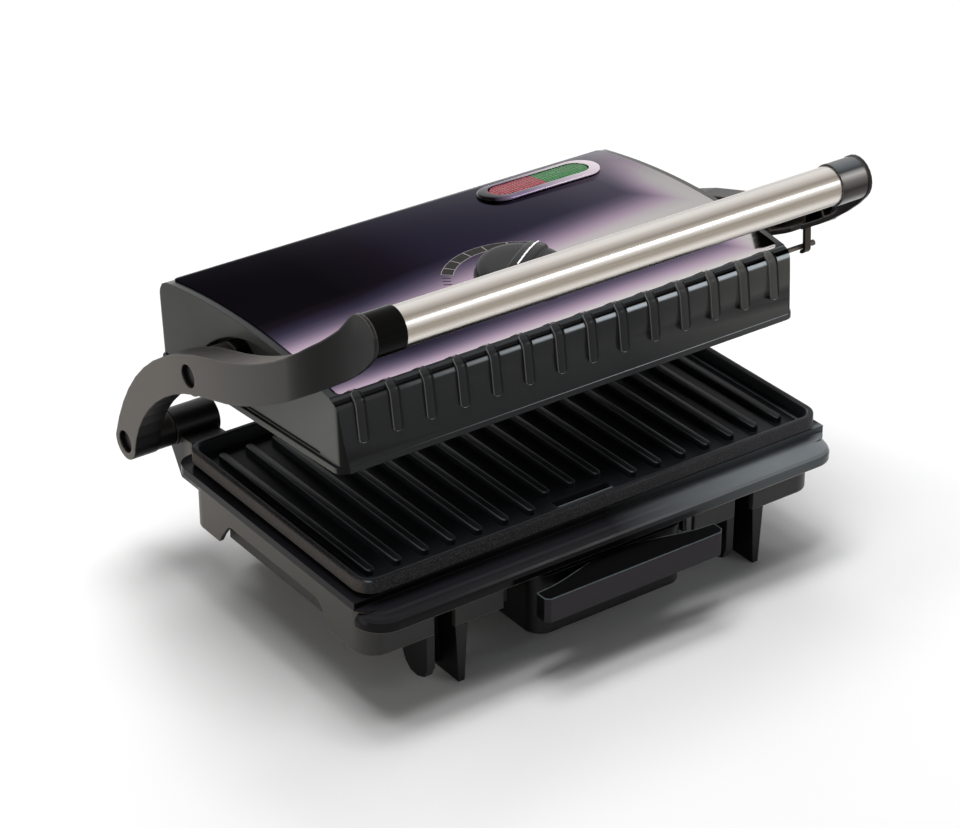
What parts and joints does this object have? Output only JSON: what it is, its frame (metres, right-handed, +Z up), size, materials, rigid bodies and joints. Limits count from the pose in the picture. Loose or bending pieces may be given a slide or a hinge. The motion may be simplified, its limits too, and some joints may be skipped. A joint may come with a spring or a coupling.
{
  "type": "electric contact grill",
  "caption": "Electric contact grill with a floating lid on two arms, ribbed plates, thermostat knob, signal lights and a sliding drip tray.",
  "frame": {"origin": "on the table, below the middle of the grill's whole outline", "axes": "+Z up, the handle and the drip tray face -Y, +X to the right as seen from the front"},
  "size_m": [0.276, 0.1916, 0.1902],
  "materials": {
    "housing_black": "satin moulded",
    "trim_black": "polished",
    "grill_plate": "non-stick coated, fine grain",
    "heater": "oxidised rod",
    "sheet_steel": "rolled sheet",
    "steel": "plain",
    "rubber": "matt",
    "tray_black": "satin moulded",
    "arm_plastic": "satin moulded",
    "handle_steel": "brushed lengthwise",
    "gloss_black": "polished",
    "lid_plastic": "satin gloss",
    "cover_steel": "polished sheet",
    "ceramic": "ceramic and resin",
    "lamp_glass": "clear",
    "bezel": "polished",
    "red_lens": "clear tinted, ribbed",
    "green_lens": "clear tinted, ribbed",
    "knob_black": "satin gloss",
    "pointer_white": "printed"
  },
  "bodies": {
    "base": {"base_shell": "housing_black", "front_trim": "trim_black", "base_cover": "housing_black", "base_screws": "steel", "front_leg_left": "housing_black", "front_leg_right": "housing_black", "rear_leg_left": "housing_black", "rear_leg_right": "housing_black", "tray_rails": "housing_black", "lower_plate": "grill_plate", "lower_heater": "heater", "lower_reflector": "sheet_steel", "lower_plate_screws": "steel", "cord_inlet": "rubber"},
    "tray": {"drip_tray": "tray_black", "tray_handle": "tray_black"},
    "pins": {"hinge_pins": "steel"},
    "arms": {"arm_left": "arm_plastic", "arm_right": "arm_plastic", "handle_tube": "handle_steel", "handle_rod": "steel", "collar_left": "gloss_black", "collar_right": "gloss_black", "stop_hook": "steel"},
    "lid": {"lid_housing": "lid_plastic", "lid_cover": "cover_steel", "stop_pin": "steel", "pivot_pins": "steel", "upper_plate": "grill_plate", "upper_heater": "heater", "upper_reflector": "sheet_steel", "upper_plate_screws": "steel", "thermostat": "ceramic", "thermal_fuse": "ceramic", "lamp_holder": "housing_black", "lamps": "lamp_glass", "light_bezel": "bezel", "red_lens": "red_lens", "green_lens": "green_lens"},
    "knob": {"dial_knob": "knob_black", "knob_pointer": "pointer_white"}
  },
  "joints": [
    {"name": "lid_open", "type": "hinge", "parent": "base", "child": "pins", "pos_m": [0, 0.0875, 0.0628], "axis": [-1, 0, 0], "range_deg": [0, 75]},
    {"name": "arm_lower", "type": "hinge", "parent": "pins", "child": "arms", "pos_m": [0, 0.0875, 0.0628], "axis": [-1, 0, 0], "range_deg": [-25.6, 0]},
    {"name": "lid_float", "type": "hinge", "parent": "arms", "child": "lid", "pos_m": [0, 0.0295, 0.1205], "axis": [-1, 0, 0], "range_deg": [0, 21.9]},
    {"name": "knob_turn", "type": "hinge", "parent": "lid", "child": "knob", "pos_m": [0, -0.01421, 0.14191], "axis": [0, -0.0764, 0.9971], "range_deg": [-10, 150]},
    {"name": "tray_slide", "type": "slide", "parent": "base", "child": "tray", "axis": [0, -1, 0], "range_m": [0, 0.11]}
  ],
  "couplings": [
    {"joint": "lid_float", "follows": "arm_lower", "ratio": -0.8554}
  ]
}
